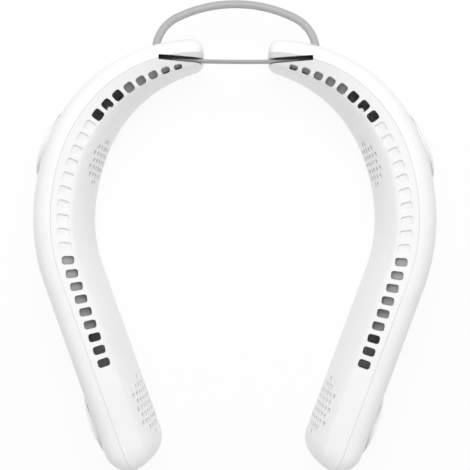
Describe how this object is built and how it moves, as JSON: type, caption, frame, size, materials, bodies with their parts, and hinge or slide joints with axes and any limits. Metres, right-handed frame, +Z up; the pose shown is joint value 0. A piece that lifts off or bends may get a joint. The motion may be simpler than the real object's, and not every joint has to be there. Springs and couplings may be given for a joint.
{
  "type": "neck fan",
  "caption": "Electric neck fan: curved hollow white arms with rows of air vents and round intake covers, joined by a flexible neck strip and an arched cable sleeve.",
  "frame": {"origin": "middle of the part's box, on the plane it rests on", "axes": "+X from the left arm to the right arm as seen in the picture, +Y towards the cable arch at the back of the neck, +Z up"},
  "size_m": [0.196, 0.2316, 0.05],
  "materials": {
    "white_shell": "satin white shell plastic",
    "intake_cover": "satin white plastic",
    "inner_grille": "matt white plastic",
    "dark_plastic": "matt black plastic",
    "grey_plastic": "matt grey plastic",
    "duct_grey": "matt light grey plastic of the air ducts",
    "soft_grey": "matt light grey soft rubber",
    "motor_metal": "varnished copper winding and laminations",
    "bearing_brass": "sintered bronze",
    "steel": "plated steel",
    "board": "green circuit board",
    "cell_wrap": null,
    "button": "satin white plastic"
  },
  "bodies": {
    "left_arm": {"left_outer_shell": "white_shell", "left_inner_shell": "white_shell", "left_upper_intake_cover": "intake_cover", "left_lower_intake_cover": "intake_cover", "left_upper_inner_grille": "inner_grille", "left_lower_inner_grille": "inner_grille", "left_upper_fan_frame": "dark_plastic", "left_lower_fan_frame": "dark_plastic", "left_upper_motor": "motor_metal", "left_lower_motor": "motor_metal", "left_upper_bearing": "bearing_brass", "left_lower_bearing": "bearing_brass", "left_upper_air_guide": "duct_grey", "left_lower_air_guide": "duct_grey", "left_battery_cell": "cell_wrap", "left_fan_screws": "steel", "left_strip_clamp": "dark_plastic", "left_cable_gland": "dark_plastic", "left_protection_board": "board", "neck_strip": "soft_grey", "cable_sleeve": "soft_grey"},
    "right_arm": {"right_outer_shell": "white_shell", "right_inner_shell": "white_shell", "right_upper_intake_cover": "intake_cover", "right_lower_intake_cover": "intake_cover", "right_upper_inner_grille": "inner_grille", "right_lower_inner_grille": "inner_grille", "right_upper_fan_frame": "dark_plastic", "right_lower_fan_frame": "dark_plastic", "right_upper_motor": "motor_metal", "right_lower_motor": "motor_metal", "right_upper_bearing": "bearing_brass", "right_lower_bearing": "bearing_brass", "right_upper_air_guide": "duct_grey", "right_lower_air_guide": "duct_grey", "right_battery_cell": "cell_wrap", "right_fan_screws": "steel", "right_strip_clamp": "dark_plastic", "right_cable_gland": "dark_plastic", "right_control_board": "board", "button_switch": "steel", "charging_port": "steel", "charging_board": "board"},
    "left_upper_blower": {"left_upper_impeller": "grey_plastic"},
    "left_lower_blower": {"left_lower_impeller": "grey_plastic"},
    "right_upper_blower": {"right_upper_impeller": "grey_plastic"},
    "right_lower_blower": {"right_lower_impeller": "grey_plastic"},
    "button": {"power_button": "button"}
  },
  "joints": [
    {"name": "neck_flex", "type": "hinge", "parent": "left_arm", "child": "right_arm", "pos_m": [0, 0.084, 0.035], "axis": [0, 0, 1], "range_deg": [-6, 35], "stiffness_Nm_per_rad": 1, "deforming": ["neck_strip", "cable_sleeve"]},
    {"name": "left_upper_spin", "type": "hinge", "parent": "left_arm", "child": "left_upper_blower", "pos_m": [-0.07878, 0.03955, 0.025], "axis": [-0.9163, 0.3753, -0.1401], "continuous": true},
    {"name": "left_lower_spin", "type": "hinge", "parent": "left_arm", "child": "left_lower_blower", "pos_m": [-0.05489, -0.08868, 0.025], "axis": [-0.9301, -0.3385, -0.1426], "continuous": true},
    {"name": "right_upper_spin", "type": "hinge", "parent": "right_arm", "child": "right_upper_blower", "pos_m": [0.07878, 0.03955, 0.025], "axis": [0.9163, 0.3753, -0.1401], "continuous": true},
    {"name": "right_lower_spin", "type": "hinge", "parent": "right_arm", "child": "right_lower_blower", "pos_m": [0.05489, -0.08868, 0.025], "axis": [0.9301, -0.3385, -0.1426], "continuous": true},
    {"name": "button_press", "type": "slide", "parent": "right_arm", "child": "button", "axis": [-0.9876, 0.0663, 0.1426], "range_m": [0, 0.0006], "stiffness_N_per_m": 400}
  ]
}
